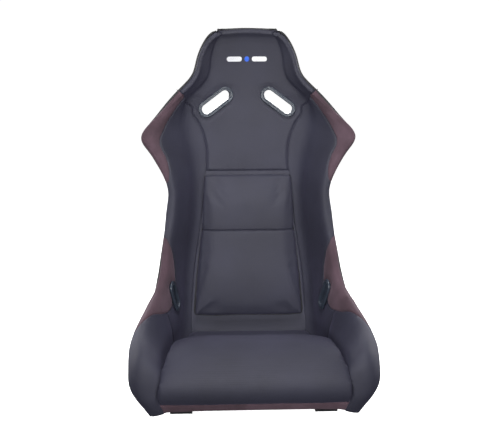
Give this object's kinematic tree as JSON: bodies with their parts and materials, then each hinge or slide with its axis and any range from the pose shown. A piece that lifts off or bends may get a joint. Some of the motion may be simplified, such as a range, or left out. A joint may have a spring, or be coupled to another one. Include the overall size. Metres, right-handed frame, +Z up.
{
  "type": "racing bucket seat",
  "caption": "Fixed-back racing bucket seat: padded shell with shoulder and thigh bolsters, harness slots, loose cushions and side mounts.",
  "frame": {"origin": "on the floor, under the middle of the bounding box", "axes": "+Z up, the occupant faces -Y, +X towards the side with the right-hand mounting face"},
  "size_m": [0.593, 0.5861, 0.8937],
  "materials": {
    "shell_laminate": "satin gel coat over glass fibre",
    "mount_laminate": "satin moulded laminate",
    "insert_steel": "plated steel",
    "rubber_trim": "matte extruded rubber",
    "bezel_plastic": "fine-grained moulded plastic",
    "suede": "brushed synthetic suede",
    "patch_thread": "dense embroidery",
    "hook_tape": "hook-and-loop tape",
    "foam": "open-cell foam",
    "backing_cloth": "looped backing cloth",
    "woven_fabric": "plain-woven polyester over thin foam"
  },
  "bodies": {
    "seat": {"shell": "shell_laminate", "side_mount_left": "mount_laminate", "side_mount_right": "mount_laminate", "mount_inserts": "insert_steel", "rim_trim": "rubber_trim", "upper_back_panel": "woven_fabric", "back_liner": "woven_fabric", "pan_liner": "woven_fabric", "front_lip_strip": "suede", "torso_bolster_left": "woven_fabric", "torso_bolster_right": "woven_fabric", "thigh_bolster_left": "woven_fabric", "thigh_bolster_right": "woven_fabric", "shoulder_wing_left": "suede", "shoulder_wing_right": "suede", "hip_panel_left": "suede", "hip_panel_right": "suede", "head_patch": "patch_thread", "back_hook_strips": "hook_tape", "seat_hook_strips": "hook_tape", "thigh_hook_strips": "hook_tape", "shoulder_bezel_front_left": "bezel_plastic", "shoulder_bezel_front_right": "bezel_plastic", "shoulder_bezel_rear_left": "bezel_plastic", "shoulder_bezel_rear_right": "bezel_plastic", "lap_bezel_inner_left": "bezel_plastic", "lap_bezel_inner_right": "bezel_plastic", "lap_bezel_outer_left": "bezel_plastic", "lap_bezel_outer_right": "bezel_plastic"},
    "back_cushion": {"back_cushion_cover": "woven_fabric", "back_cushion_foam_upper": "foam", "back_cushion_foam_lower": "foam", "back_cushion_backing": "backing_cloth"},
    "seat_pad": {"seat_pad_cover": "woven_fabric", "seat_pad_foam": "foam", "seat_pad_backing": "backing_cloth"},
    "thigh_cushion": {"thigh_cushion_cover": "woven_fabric", "thigh_cushion_foam": "foam", "thigh_cushion_backing": "backing_cloth"}
  },
  "joints": [
    {"name": "back_cushion_lift", "type": "slide", "parent": "seat", "child": "back_cushion", "axis": [0, -0.94, 0.3412], "range_m": [0, 0.1]},
    {"name": "seat_pad_lift", "type": "slide", "parent": "seat", "child": "seat_pad", "axis": [0, 0, 1], "range_m": [0, 0.03]},
    {"name": "thigh_cushion_lift", "type": "slide", "parent": "seat", "child": "thigh_cushion", "axis": [0, -0.8, 0.6], "range_m": [0, 0.25]}
  ]
}
